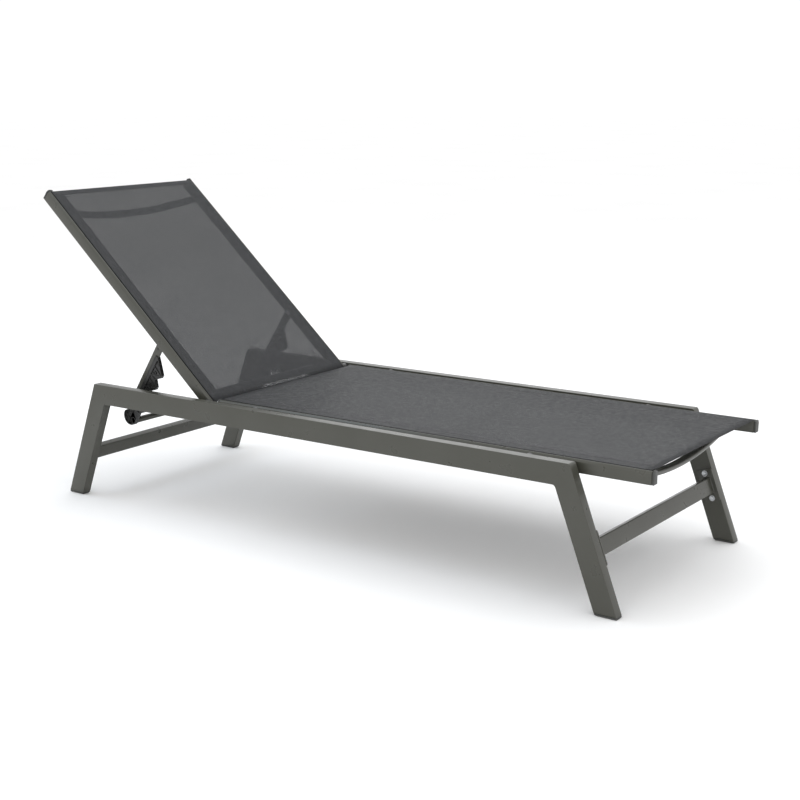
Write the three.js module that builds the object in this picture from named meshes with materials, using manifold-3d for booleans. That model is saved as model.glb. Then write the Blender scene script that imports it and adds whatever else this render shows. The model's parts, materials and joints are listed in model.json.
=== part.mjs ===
// Reclining sun lounger: a tube frame with splayed legs, two seat rails that carry a stretched
// sling, and a hinged backrest with its own sling, held up by a toothed prop.
// Units are millimetres. +X points to the foot end, +Y to the sitter's left and +Z up. The origin
// is on the floor, below the centre of the lounger's box, with the backrest at its third notch.

import * as THREE from 'three';
import { mergeVertices } from 'three/addons/utils/BufferGeometryUtils.js';
import Module from 'manifold-3d';

const wasm = await Module();
wasm.setup();

// ---------------------------------------------------------------- driving dimensions

const GAP = 0.3;                      // clearance between pieces that touch
const OVERLAP = 1;                    // how far two joined shapes run into each other
const OVERALL_WIDTH = 624;

// Side frames: a level rail and two splayed legs of the same tube, mitred at the corners.
const TUBE_HEIGHT = 50;
const TUBE_WIDTH = 25;
const TUBE_WALL = 1.6;
const TUBE_CORNER = 3;
const RAIL_TOP = 316;
const RAIL_HALF_LENGTH = 717.5;
const HEAD_SPLAY = THREE.MathUtils.degToRad(21.5);
const FOOT_SPLAY = THREE.MathUtils.degToRad(20.3);
const FOOT_CAP_THICKNESS = 5;
const FOOT_CAP_PLUG = 20;             // height of the plug's top above the floor
const LEG_REACH = 400;                // longer than a leg

// Crossbars between the legs.
const CROSSBAR_HEIGHT = 38;
const CROSSBAR_DEPTH = 19;
const HEAD_CROSSBAR_Z = 118;
const FOOT_CROSSBAR_Z = 134;
const FOOT_CROSSBAR_FORWARD = 6;      // off the leg's centre line, towards the foot end
const PLATE_LENGTH = 80;
const PLATE_WIDTH = 39;
const PLATE_THICKNESS = 3.5;
const PLATE_BOLT_SPACING = 62;
const PLATE_BOLT_HEAD_RADIUS = 7.5;   // across the corners of a 13 mm hexagon
const PLATE_BOLT_HEAD_HEIGHT = 5.3;

// Sling rails: one extruded profile with a keder groove, used for the seat and the backrest.
const PROFILE_WIDTH = 18;
const PROFILE_DEPTH = 30;
const PROFILE_WALL = 2;
const PROFILE_OUTER_FACE = 271.2;     // distance of the profile's outer face from the centre
const PROFILE_CORNER = 1.5;
const LAND_CORNER = 1;
const SHOULDER_RADIUS = 7;
const LAND_DROP = 1.6;                // the land beside the groove is lower than the shoulder
const GROOVE_START = 8.2;             // groove slot, measured from the outer face
const GROOVE_WIDTH = 2.6;
const CHANNEL_RADIUS = 3.7;
const CHANNEL_DEPTH = 7;              // channel centre below the shoulder's top
const CHAMBER_HEIGHT = 15.5;
const KEDER_RADIUS = 2.6;
const RAIL_CAP_THICKNESS = 5;
const RAIL_CAP_PLUG = 12;
const SEAT_RAIL_BOTTOM = 287;
const SEAT_RAIL_HEAD_X = -309;
const SEAT_RAIL_FOOT_X = 887.5;       // foot end of the cap

// Slings.
const SLING_THICKNESS = 1.2;
const SLING_DROP = 0.1;               // fabric's top face, below the rails' shoulders
const SEAT_SLING_HEAD_X = -302;
const SLING_END_INSET = 7;            // fabric stops short of the ends of its rails
const BACK_SLING_TAIL = 10;           // fabric runs this far past the hinge axis

// Bowed spreaders under the slings.
const SPREADER_WIDTH = 22;
const SPREADER_HEIGHT = 12;
const SPREADER_CORNER = 4;
const SPREADER_WALL = 1.5;
const SPREADER_SAG = 34;
const SPREADER_BELOW_AXIS = 9;        // spreader ends, below the middle of the sling rail
const FOOT_SPREADER_X = 809.5;
const MIDDLE_SPREADER_X = 250;
const HEAD_SPREADER_X = -262;
const TOP_SPREADER_DISTANCE = 699;    // from the hinge axis, along the backrest
const LOWER_BAR_DISTANCE = 24;
const LOWER_BAR_RADIUS = 10;

// Hinge, backrest and fastenings.
const HINGE_X = -343;
const HINGE_Z = SEAT_RAIL_BOTTOM + PROFILE_DEPTH / 2;
const BACKREST_LENGTH = 760;          // hinge axis to the end of the top cap
const RECLINE = THREE.MathUtils.degToRad(41.5);
const BOLT_RADIUS = 4;
const BORE_RADIUS = 4.4;
const BUTTON_HEAD_RADIUS = 7.5;
const BUTTON_HEAD_HEIGHT = 5;
const SPACER_RADIUS = 12;
const BOLT_END = 296;                 // bolts end inside the side frame's tube
const SEAT_BOLT_XS = { head: -180, foot: 600 };

// Prop: two flat arms with toothed racks, joined by a cross tube. Distances along an arm run
// down from its pivot; distances across it run towards the teeth.
const PROP_PIVOT_DISTANCE = 225;
const PROP_LEAN = THREE.MathUtils.degToRad(34.1);
const ARM_WIDTH = 22;
const PROP_BOLT_INSET = 5;            // the bolt ends this far inside the rail's outer face
const ARM_LENGTH = 250;
const ARM_FACE = 248.3;               // outer face of an arm, from the centre
const ARM_THICKNESS = 5;
const RACK_FACE = 250.8;
const RACK_THICKNESS = 10;
const RACK_EDGE = 1.5;                // the rack's head-side edge, across from the arm's centre
const RACK_TOP = 59;
const TOOTH_TOP = 91.8;
const TOOTH_PITCH = 40;
const TOOTH_COUNT = 4;
const TOOTH_TIP = 46.5;
const TOOTH_FLAT = 9;
const NOTCH_OFFSET = 25.3;            // from a tooth's first corner to its notch's root
const NOTCH_ROOT = 32.5;
const RACK_END = { along: 265, across: 11, radius: 24 };
const CROSS_TUBE = { along: 270, across: 25, radius: 8, wall: 1.5 };

// Catch pins: the rack's third notch sits on them.
const CATCH_NOTCH = 2;
const CATCH_PIN_RADIUS = 5;
const CATCH_PIN_ACROSS = 40;
const CATCH_PIN_END = 251.8;          // clear of the rack's face
const BRACKET_HALF_LENGTH = 20;
const BRACKET_THICKNESS = 3;
const BRACKET_BOTTOM = 257;
const LEDGE_INNER_EDGE = 255;

// ---------------------------------------------------------------- derived planes

const FRAME_OUTER = OVERALL_WIDTH / 2;
const FRAME_INNER = FRAME_OUTER - TUBE_WIDTH;
const PROFILE_INNER_FACE = PROFILE_OUTER_FACE - PROFILE_WIDTH;
const BIG = 3000;                     // larger than the whole lounger

// ---------------------------------------------------------------- solids and outlines

function toSolid(geometry) {
  const plain = geometry.clone();
  plain.deleteAttribute('normal');
  plain.deleteAttribute('uv');
  const merged = mergeVertices(plain, 1e-4);
  const mesh = new wasm.Mesh({
    numProp: 3,
    vertProperties: merged.attributes.position.array,
    triVerts: merged.index.array,
  });
  return new wasm.Manifold(mesh);
}

function toGeometry(solid) {
  const mesh = solid.getMesh();
  const geometry = new THREE.BufferGeometry();
  geometry.setAttribute('position', new THREE.BufferAttribute(mesh.vertProperties, 3));
  geometry.setIndex(new THREE.BufferAttribute(mesh.triVerts, 1));
  geometry.computeVertexNormals();
  return geometry;
}

function arc(centre, radius, startDegrees, endDegrees, steps) {
  return Array.from({ length: steps + 1 }, (_, i) => {
    const angle = THREE.MathUtils.degToRad(startDegrees + (endDegrees - startDegrees) * i / steps);
    return new THREE.Vector2(
      centre[0] + radius * Math.cos(angle),
      centre[1] + radius * Math.sin(angle),
    );
  });
}

function roundedRectangle(width, height, radius, steps = 2) {
  const x = width / 2 - radius;
  const y = height / 2 - radius;
  return [
    ...arc([x, y], radius, 0, 90, steps),
    ...arc([-x, y], radius, 90, 180, steps),
    ...arc([-x, -y], radius, 180, 270, steps),
    ...arc([x, -y], radius, 270, 360, steps),
  ];
}

function shapeOf(outline, hole) {
  const shape = new THREE.Shape(outline);
  if (hole) {
    shape.holes.push(new THREE.Path(hole));
  }
  return shape;
}

// An outline in (Y, Z), extruded from x = start to x = end.
function prismAlongX(outline, start, end, hole) {
  const geometry = new THREE.ExtrudeGeometry(shapeOf(outline, hole), {
    depth: end - start,
    bevelEnabled: false,
  });
  geometry.applyMatrix4(new THREE.Matrix4().makeBasis(
    new THREE.Vector3(0, 1, 0),
    new THREE.Vector3(0, 0, 1),
    new THREE.Vector3(1, 0, 0),
  ));
  geometry.translate(start, 0, 0);
  return toSolid(geometry);
}

// An outline in (X, Z), extruded from y = start to y = end.
function prismAlongY(outline, start, end, hole) {
  const geometry = new THREE.ExtrudeGeometry(shapeOf(outline, hole), {
    depth: end - start,
    bevelEnabled: false,
  });
  geometry.rotateX(Math.PI / 2);
  geometry.translate(0, end, 0);
  return toSolid(geometry);
}

// An outline in (X, Y), extruded from z = start to z = end.
function prismAlongZ(outline, start, end, hole) {
  const geometry = new THREE.ExtrudeGeometry(shapeOf(outline, hole), {
    depth: end - start,
    bevelEnabled: false,
  });
  geometry.translate(0, 0, start);
  return toSolid(geometry);
}

function block(xs, ys, zs) {
  const geometry = new THREE.BoxGeometry(xs[1] - xs[0], ys[1] - ys[0], zs[1] - zs[0]);
  geometry.translate((xs[0] + xs[1]) / 2, (ys[0] + ys[1]) / 2, (zs[0] + zs[1]) / 2);
  return toSolid(geometry);
}

function pinAlongY(x, z, radius, start, end, sides = 16) {
  const geometry = new THREE.CylinderGeometry(radius, radius, end - start, sides);
  geometry.translate(x, (start + end) / 2, z);
  return toSolid(geometry);
}

// Everything on the side of a plane that its normal points to. The plane holds the Y axis.
function halfSpace(point, normal) {
  const geometry = new THREE.BoxGeometry(BIG, BIG, BIG);
  geometry.translate(0, 0, BIG / 2);
  geometry.rotateY(Math.atan2(normal.x, normal.y));
  geometry.translate(point.x, 0, point.y);
  return toSolid(geometry);
}

// ---------------------------------------------------------------- materials

const FINISHES = {
  paint: { color: 0x55554f, roughness: 0.5, metalness: 0.3 },
  plastic: { color: 0x1c1c1b, roughness: 0.6, metalness: 0 },
  greyPlastic: { color: 0x4b4b4a, roughness: 0.5, metalness: 0 },
  steel: { color: 0xb9bcbd, roughness: 0.3, metalness: 0.9 },
  sling: { color: 0x4a4c50, roughness: 0.9, metalness: 0 },
};

const frameGroup = new THREE.Group();
const backrestGroup = new THREE.Group();
const propGroup = new THREE.Group();

function addPiece(group, name, solid, finish) {
  const mesh = new THREE.Mesh(toGeometry(solid), new THREE.MeshStandardMaterial(FINISHES[finish]));
  mesh.name = name;
  group.add(mesh);
}

// Right-hand pieces lie at negative Y; the left-hand ones are their mirror images.
function addPair(group, name, rightSolid, finish) {
  addPiece(group, `right_${name}`, rightSolid, finish);
  addPiece(group, `left_${name}`, rightSolid.mirror([0, 1, 0]), finish);
}

// ---------------------------------------------------------------- side frames

// The two ends of a side frame: the outer top corner, the splay and which way the leg leans.
const FRAME_ENDS = {
  head: { corner: new THREE.Vector2(-RAIL_HALF_LENGTH, RAIL_TOP), splay: HEAD_SPLAY, side: -1 },
  foot: { corner: new THREE.Vector2(RAIL_HALF_LENGTH, RAIL_TOP), splay: FOOT_SPLAY, side: 1 },
};

// Unit vector from an end's corner down its leg.
function legDirection({ splay, side }) {
  return new THREE.Vector2(side * Math.sin(splay), -Math.cos(splay));
}

// Unit vector across a leg, from its outer edge inwards.
function legInward({ splay, side }) {
  return new THREE.Vector2(-side * Math.cos(splay), -Math.sin(splay));
}

// A point on a leg's centre line at height z, moved outwards by an offset.
function legCentre(end, z, outward = 0) {
  const inward = legInward(end);
  const start = end.corner.clone().addScaledVector(inward, TUBE_HEIGHT / 2 - outward);
  const direction = legDirection(end);
  return start.addScaledVector(direction, (z - start.y) / direction.y);
}

// Region beyond the mitre plane, on the rail's or the leg's side of it.
function mitre(end, keep) {
  const along = new THREE.Vector2(-end.side, 0);
  const normal = along.sub(legDirection(end)).normalize();
  if (keep === 'rail') {
    normal.negate();
  }
  const point = end.corner.clone().addScaledVector(normal, -GAP / 2);
  return halfSpace(point, normal);
}

function tubeHole(width, height) {
  return roundedRectangle(width - 2 * TUBE_WALL, height - 2 * TUBE_WALL, TUBE_CORNER - TUBE_WALL, 1);
}

// A straight prism along a leg, for a section given in the leg's own axes.
function alongLeg(end, outline, hole) {
  const solid = prismAlongZ(outline, -LEG_REACH, TUBE_HEIGHT, hole);
  const degrees = THREE.MathUtils.radToDeg(-end.side * end.splay);
  return solid
    .translate([-end.side * TUBE_HEIGHT / 2, 0, 0])
    .rotate([0, degrees, 0])
    .translate([end.corner.x, -(FRAME_OUTER + FRAME_INNER) / 2, end.corner.y]);
}

const legOutline = roundedRectangle(TUBE_HEIGHT, TUBE_WIDTH, TUBE_CORNER);
const legHole = tubeHole(TUBE_HEIGHT, TUBE_WIDTH);

const boltXs = [HINGE_X, SEAT_BOLT_XS.head, SEAT_BOLT_XS.foot];

function sideRail() {
  const centre = new THREE.Vector2(-(FRAME_OUTER + FRAME_INNER) / 2, RAIL_TOP - TUBE_HEIGHT / 2);
  const place = (outline) => outline.map((point) => point.clone().add(centre));
  const reach = RAIL_HALF_LENGTH + TUBE_HEIGHT;
  let rail = prismAlongX(
    place(roundedRectangle(TUBE_WIDTH, TUBE_HEIGHT, TUBE_CORNER)),
    -reach,
    reach,
    place(tubeHole(TUBE_WIDTH, TUBE_HEIGHT)),
  );
  for (const end of Object.values(FRAME_ENDS)) {
    rail = rail.subtract(mitre(end, 'rail'));
  }
  for (const x of boltXs) {
    rail = rail.subtract(pinAlongY(
      x, HINGE_Z, BORE_RADIUS, -FRAME_INNER - 2 * TUBE_WALL, -FRAME_INNER + TUBE_WALL,
    ));
  }
  return rail;
}

function leg(end) {
  const floor = block([-BIG, BIG], [-BIG, BIG], [-BIG, FOOT_CAP_THICKNESS + GAP]);
  return alongLeg(end, legOutline, legHole).subtract(mitre(end, 'leg')).subtract(floor);
}

function footCap(end) {
  const sole = alongLeg(end, legOutline)
    .intersect(block([-BIG, BIG], [-BIG, BIG], [0, FOOT_CAP_THICKNESS]));
  const plugOutline = roundedRectangle(
    TUBE_HEIGHT - 2 * TUBE_WALL - 2 * GAP,
    TUBE_WIDTH - 2 * TUBE_WALL - 2 * GAP,
    TUBE_CORNER - TUBE_WALL,
    1,
  );
  const plug = alongLeg(end, plugOutline)
    .intersect(block([-BIG, BIG], [-BIG, BIG], [FOOT_CAP_THICKNESS - OVERLAP, FOOT_CAP_PLUG]));
  return sole.add(plug);
}

// The points of the two plate bolts on the foot leg, from the top.
function plateBoltPoints(end) {
  const centre = legCentre(end, FOOT_CROSSBAR_Z, FOOT_CROSSBAR_FORWARD);
  const direction = legDirection(end);
  return [-1, 1].map((step) => (
    centre.clone().addScaledVector(direction, step * PLATE_BOLT_SPACING / 2)
  ));
}

function drilledFootLeg(end) {
  return plateBoltPoints(end).reduce((solid, point) => solid.subtract(pinAlongY(
    point.x, point.y, BORE_RADIUS, -FRAME_INNER - 2 * TUBE_WALL, -FRAME_INNER + TUBE_WALL,
  )), leg(end));
}

addPair(frameGroup, 'side_rail', sideRail(), 'paint');
for (const [endName, end] of Object.entries(FRAME_ENDS)) {
  const tube = endName === 'foot' ? drilledFootLeg(end) : leg(end);
  addPair(frameGroup, `${endName}_leg`, tube, 'paint');
  addPair(frameGroup, `${endName}_leg_cap`, footCap(end), 'greyPlastic');
}

// ---------------------------------------------------------------- crossbars

// Moves an outline drawn around (0, 0) to a point, leaning with a leg.
function leanWithLeg(end, outline, point) {
  const angle = end.side * end.splay;
  return outline.map((corner) => corner.clone().rotateAround(new THREE.Vector2(), angle).add(point));
}

function crossbar(end, z, forward) {
  const centre = legCentre(end, z, forward);
  const section = roundedRectangle(CROSSBAR_DEPTH, CROSSBAR_HEIGHT, TUBE_CORNER);
  const hole = roundedRectangle(
    CROSSBAR_DEPTH - 2 * TUBE_WALL, CROSSBAR_HEIGHT - 2 * TUBE_WALL, TUBE_CORNER - TUBE_WALL, 1,
  );
  const plate = forward ? PLATE_THICKNESS + GAP : 0;
  const halfLength = FRAME_INNER - plate - GAP;
  return prismAlongY(
    leanWithLeg(end, section, centre),
    -halfLength,
    halfLength,
    leanWithLeg(end, hole, centre),
  );
}

function crossbarPlate(end) {
  const centre = legCentre(end, FOOT_CROSSBAR_Z, FOOT_CROSSBAR_FORWARD);
  const outer = -FRAME_INNER + GAP;
  const outline = roundedRectangle(PLATE_WIDTH, PLATE_LENGTH, 2 * TUBE_CORNER, 3);
  const plate = prismAlongY(leanWithLeg(end, outline, centre), outer, outer + PLATE_THICKNESS);
  return plateBoltPoints(end).reduce((solid, point) => solid.subtract(pinAlongY(
    point.x, point.y, BORE_RADIUS, -FRAME_INNER - PLATE_THICKNESS, -FRAME_INNER + 3 * PLATE_THICKNESS,
  )), plate);
}

function plateBolt(point) {
  const seat = -FRAME_INNER + PLATE_THICKNESS + 2 * GAP;
  const head = pinAlongY(
    point.x, point.y, PLATE_BOLT_HEAD_RADIUS, seat, seat + PLATE_BOLT_HEAD_HEIGHT, 6,
  );
  return head.add(pinAlongY(point.x, point.y, BOLT_RADIUS, -BOLT_END, seat + OVERLAP));
}

const { head: headEnd, foot: footEnd } = FRAME_ENDS;
addPiece(frameGroup, 'head_crossbar', crossbar(headEnd, HEAD_CROSSBAR_Z, 0), 'paint');
addPiece(frameGroup, 'foot_crossbar', crossbar(footEnd, FOOT_CROSSBAR_Z, FOOT_CROSSBAR_FORWARD), 'paint');
addPair(frameGroup, 'crossbar_plate', crossbarPlate(footEnd), 'paint');
plateBoltPoints(footEnd).forEach((point, index) => {
  addPair(frameGroup, index === 0 ? 'upper_plate_bolt' : 'lower_plate_bolt', plateBolt(point), 'steel');
});

// ---------------------------------------------------------------- sling rail profile

// The profile's outline around a rail axis. Across is Y on the right-hand side, up is Z.
function profileOutline(axisZ, grooved) {
  const left = -PROFILE_OUTER_FACE;
  const bottom = axisZ - PROFILE_DEPTH / 2;
  const top = axisZ + PROFILE_DEPTH / 2;
  const right = left + PROFILE_WIDTH;
  const grooveMiddle = left + GROOVE_START + GROOVE_WIDTH / 2;
  const halfMouth = THREE.MathUtils.radToDeg(Math.asin(GROOVE_WIDTH / 2 / CHANNEL_RADIUS));
  const groove = [
    new THREE.Vector2(grooveMiddle + GROOVE_WIDTH / 2, top - LAND_DROP),
    ...arc([grooveMiddle, top - CHANNEL_DEPTH], CHANNEL_RADIUS, 90 - halfMouth, halfMouth - 270, 10),
    new THREE.Vector2(grooveMiddle - GROOVE_WIDTH / 2, top),
  ];
  return [
    ...arc([left + PROFILE_CORNER, bottom + PROFILE_CORNER], PROFILE_CORNER, 180, 270, 2),
    ...arc([right - PROFILE_CORNER, bottom + PROFILE_CORNER], PROFILE_CORNER, 270, 360, 2),
    ...arc([right - LAND_CORNER, top - LAND_DROP - LAND_CORNER], LAND_CORNER, 0, 90, 1),
    ...(grooved ? groove : []),
    ...arc([left + SHOULDER_RADIUS, top - SHOULDER_RADIUS], SHOULDER_RADIUS, 90, 180, 5),
  ];
}

function chamberOutline(axisZ, clearance) {
  const left = -PROFILE_OUTER_FACE + PROFILE_WALL + clearance;
  const right = -PROFILE_INNER_FACE - PROFILE_WALL - clearance;
  const low = axisZ - PROFILE_DEPTH / 2 + PROFILE_WALL + clearance;
  const high = axisZ - PROFILE_DEPTH / 2 + PROFILE_WALL + CHAMBER_HEIGHT - clearance;
  return [[left, low], [right, low], [right, high], [left, high]]
    .map(([y, z]) => new THREE.Vector2(y, z));
}

function slingRail(axisZ, start, end) {
  return prismAlongX(profileOutline(axisZ, true), start, end, chamberOutline(axisZ, 0));
}

// A cap with its outer face at one end of a rail and its plug pointing into the rail.
function railCap(axisZ, outerX, inwards) {
  const innerX = outerX + inwards * RAIL_CAP_THICKNESS;
  const plugX = innerX + inwards * RAIL_CAP_PLUG;
  const face = prismAlongX(
    profileOutline(axisZ, false), Math.min(outerX, innerX), Math.max(outerX, innerX),
  );
  const root = innerX - inwards * OVERLAP;
  const plug = prismAlongX(
    chamberOutline(axisZ, GAP), Math.min(root, plugX), Math.max(root, plugX),
  );
  return face.add(plug);
}

// The fabric over a pair of rails, with its edges turned down into the grooves.
function sling(axisZ, start, end) {
  const top = axisZ + PROFILE_DEPTH / 2 - SLING_DROP;
  const under = top - SLING_THICKNESS;
  const edge = PROFILE_OUTER_FACE - GROOVE_START - (GROOVE_WIDTH - SLING_THICKNESS) / 2;
  const inner = edge - SLING_THICKNESS;
  const hem = axisZ + PROFILE_DEPTH / 2 - CHANNEL_DEPTH + KEDER_RADIUS + GAP;
  const outline = [
    [-edge, hem], [-inner, hem], [-inner, under], [inner, under],
    [inner, hem], [edge, hem], [edge, top], [-edge, top],
  ].map(([y, z]) => new THREE.Vector2(y, z));
  return prismAlongX(outline, start, end);
}

function keder(axisZ, start, end) {
  const y = -PROFILE_OUTER_FACE + GROOVE_START + GROOVE_WIDTH / 2;
  const z = axisZ + PROFILE_DEPTH / 2 - CHANNEL_DEPTH;
  return prismAlongX(arc([y, z], KEDER_RADIUS, 0, 315, 7), start, end);
}

// A flat oval tube bowed downwards between the rails' inner faces.
function spreader(x, axisZ) {
  const reach = PROFILE_INNER_FACE - GAP;
  const endZ = axisZ - SPREADER_BELOW_AXIS;
  const path = new THREE.QuadraticBezierCurve3(
    new THREE.Vector3(x, -reach, endZ),
    new THREE.Vector3(x, 0, endZ - 2 * SPREADER_SAG),
    new THREE.Vector3(x, reach, endZ),
  );
  const section = shapeOf(
    roundedRectangle(SPREADER_WIDTH, SPREADER_HEIGHT, SPREADER_CORNER),
    roundedRectangle(
      SPREADER_WIDTH - 2 * SPREADER_WALL,
      SPREADER_HEIGHT - 2 * SPREADER_WALL,
      SPREADER_CORNER - SPREADER_WALL,
    ).reverse(),
  );
  const bar = toSolid(new THREE.ExtrudeGeometry(section, { steps: 16, extrudePath: path }));
  const betweenRails = block([-BIG, BIG], [-reach, reach], [-BIG, BIG]);
  return bar.intersect(betweenRails);
}

// ---------------------------------------------------------------- seat

const seatSlingFootX = SEAT_RAIL_FOOT_X - SLING_END_INSET;
const seatRailEndX = SEAT_RAIL_FOOT_X - RAIL_CAP_THICKNESS - GAP;

function bolted(solid, xs, z) {
  return xs.reduce((rest, x) => rest.subtract(pinAlongY(
    x, z, BORE_RADIUS, -PROFILE_OUTER_FACE - OVERLAP, -PROFILE_INNER_FACE + OVERLAP,
  )), solid);
}

// A button-head bolt through a sling rail and its spacer, into the side frame.
function railBolt(x, z) {
  const seat = -PROFILE_INNER_FACE + GAP;
  const head = pinAlongY(x, z, BUTTON_HEAD_RADIUS, seat, seat + BUTTON_HEAD_HEIGHT);
  return head.add(pinAlongY(x, z, BOLT_RADIUS, -BOLT_END, seat + OVERLAP));
}

function railSpacer(x, z) {
  const ring = pinAlongY(x, z, SPACER_RADIUS, -FRAME_INNER + GAP, -PROFILE_OUTER_FACE - GAP, 20);
  return ring.subtract(pinAlongY(x, z, BORE_RADIUS, -FRAME_INNER - OVERLAP, -PROFILE_OUTER_FACE + OVERLAP));
}

const seatRail = slingRail(HINGE_Z, SEAT_RAIL_HEAD_X, seatRailEndX);
addPair(frameGroup, 'seat_rail', bolted(seatRail, Object.values(SEAT_BOLT_XS), HINGE_Z), 'paint');
addPair(frameGroup, 'seat_rail_cap', railCap(HINGE_Z, SEAT_RAIL_FOOT_X, -1), 'greyPlastic');
addPiece(frameGroup, 'foot_spreader', spreader(FOOT_SPREADER_X, HINGE_Z), 'paint');
addPiece(frameGroup, 'middle_spreader', spreader(MIDDLE_SPREADER_X, HINGE_Z), 'paint');
addPiece(frameGroup, 'head_spreader', spreader(HEAD_SPREADER_X, HINGE_Z), 'paint');
addPiece(frameGroup, 'seat_sling', sling(HINGE_Z, SEAT_SLING_HEAD_X, seatSlingFootX), 'sling');
addPair(frameGroup, 'seat_keder', keder(HINGE_Z, SEAT_SLING_HEAD_X, seatSlingFootX), 'plastic');
for (const [place, x] of Object.entries(SEAT_BOLT_XS)) {
  addPair(frameGroup, `${place}_seat_spacer`, railSpacer(x, HINGE_Z), 'plastic');
  addPair(frameGroup, `${place}_seat_bolt`, railBolt(x, HINGE_Z), 'steel');
}
addPair(frameGroup, 'hinge_spacer', railSpacer(HINGE_X, HINGE_Z), 'plastic');
addPair(frameGroup, 'hinge_bolt', railBolt(HINGE_X, HINGE_Z), 'steel');

// ---------------------------------------------------------------- backrest

// The backrest is drawn lying flat, with the hinge axis through the origin and its top at -X.
function backRail() {
  const length = BACKREST_LENGTH - RAIL_CAP_THICKNESS - GAP;
  const rail = slingRail(0, -length, BACK_SLING_TAIL + SLING_END_INSET);
  return bolted(rail, [0, -PROP_PIVOT_DISTANCE], 0);
}

function lowerBar() {
  const reach = PROFILE_INNER_FACE - GAP;
  const outer = pinAlongY(-LOWER_BAR_DISTANCE, 0, LOWER_BAR_RADIUS, -reach, reach, 20);
  return outer.subtract(pinAlongY(
    -LOWER_BAR_DISTANCE, 0, LOWER_BAR_RADIUS - TUBE_WALL, -BIG / 2, BIG / 2, 12,
  ));
}

// A shouldered bolt from the rail through an arm, with its head on the arm's inner face.
function propBolt() {
  const x = -PROP_PIVOT_DISTANCE;
  const armInner = -ARM_FACE + ARM_THICKNESS + GAP;
  const shank = pinAlongY(x, 0, BOLT_RADIUS, -PROFILE_OUTER_FACE + PROP_BOLT_INSET, armInner + OVERLAP);
  const shoulder = pinAlongY(x, 0, 2 * BOLT_RADIUS, -PROFILE_INNER_FACE + GAP, -ARM_FACE - GAP);
  const head = pinAlongY(x, 0, BUTTON_HEAD_RADIUS, armInner, armInner + BUTTON_HEAD_HEIGHT);
  return shank.add(shoulder).add(head);
}

const backSlingTop = -BACKREST_LENGTH + SLING_END_INSET;
addPair(backrestGroup, 'back_rail', backRail(), 'paint');
addPair(backrestGroup, 'back_rail_cap', railCap(0, -BACKREST_LENGTH, 1), 'greyPlastic');
addPiece(backrestGroup, 'top_spreader', spreader(-TOP_SPREADER_DISTANCE, 0), 'paint');
addPiece(backrestGroup, 'lower_bar', lowerBar(), 'paint');
addPiece(backrestGroup, 'back_sling', sling(0, backSlingTop, BACK_SLING_TAIL), 'sling');
addPair(backrestGroup, 'back_keder', keder(0, backSlingTop, BACK_SLING_TAIL), 'plastic');
addPair(backrestGroup, 'prop_bolt', propBolt(), 'steel');

// ---------------------------------------------------------------- prop

// A prop outline is given as [along, across] pairs and drawn hanging straight down: along is -Z
// and across is +X.
function hanging(pairs) {
  return pairs.map(([along, across]) => new THREE.Vector2(across, -along));
}

function propArm() {
  const half = ARM_WIDTH / 2;
  const outline = [
    ...arc([0, 0], half, 0, 180, 8),
    ...hanging([[ARM_LENGTH, -half], [ARM_LENGTH, half]]),
  ];
  const bore = arc([0, 0], BORE_RADIUS, 0, 337.5, 15);
  return prismAlongY(outline, -ARM_FACE, -ARM_FACE + ARM_THICKNESS, bore);
}

// One tooth: a sloping back, a flat tip and an undercut that ends in the notch's root.
function tooth(index) {
  const top = TOOTH_TOP + index * TOOTH_PITCH;
  return [
    [top, TOOTH_TIP],
    [top + TOOTH_FLAT, TOOTH_TIP],
    [top + NOTCH_OFFSET, NOTCH_ROOT],
  ];
}

function toothedRack() {
  const teeth = Array.from({ length: TOOTH_COUNT }, (_, index) => tooth(index)).flat();
  const { along, across, radius } = RACK_END;
  const outline = [
    ...hanging([[RACK_TOP, RACK_EDGE], [RACK_TOP, ARM_WIDTH / 2], ...teeth]),
    ...arc([across, -along], radius, 0, -180, 12),
    ...hanging([[along - radius, RACK_EDGE]]),
  ].reverse();
  const armSlot = block(
    [-BIG, ARM_WIDTH / 2 + GAP],
    [-ARM_FACE - GAP, -ARM_FACE + ARM_THICKNESS + GAP],
    [-ARM_LENGTH - GAP, BIG],
  );
  const socket = pinAlongY(
    CROSS_TUBE.across,
    -CROSS_TUBE.along,
    CROSS_TUBE.radius + GAP,
    -RACK_FACE + RACK_THICKNESS / 2,
    0,
    20,
  );
  return prismAlongY(outline, -RACK_FACE, -RACK_FACE + RACK_THICKNESS)
    .subtract(armSlot)
    .subtract(socket);
}

function crossTube() {
  const { along, across, radius, wall } = CROSS_TUBE;
  const reach = RACK_FACE - RACK_THICKNESS / 2 - GAP;
  const outer = pinAlongY(across, -along, radius, -reach, reach, 16);
  return outer.subtract(pinAlongY(across, -along, radius - wall, -BIG / 2, BIG / 2, 10));
}

addPair(propGroup, 'prop_arm', propArm(), 'paint');
addPair(propGroup, 'toothed_rack', toothedRack(), 'plastic');
addPiece(propGroup, 'prop_cross_tube', crossTube(), 'paint');

// ---------------------------------------------------------------- catch pins

// Where a point of the leaning prop is in the side view of the whole lounger.
function propPoint(along, across) {
  const pivot = new THREE.Vector2(HINGE_X, HINGE_Z).add(
    new THREE.Vector2(-Math.cos(RECLINE), Math.sin(RECLINE)).multiplyScalar(PROP_PIVOT_DISTANCE),
  );
  const down = new THREE.Vector2(-Math.sin(PROP_LEAN), -Math.cos(PROP_LEAN));
  const towardsTeeth = new THREE.Vector2(Math.cos(PROP_LEAN), -Math.sin(PROP_LEAN));
  return pivot.addScaledVector(down, along).addScaledVector(towardsTeeth, across);
}

const notchAlong = TOOTH_TOP + CATCH_NOTCH * TOOTH_PITCH + NOTCH_OFFSET;
const catchPoint = propPoint(notchAlong, CATCH_PIN_ACROSS);

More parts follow.
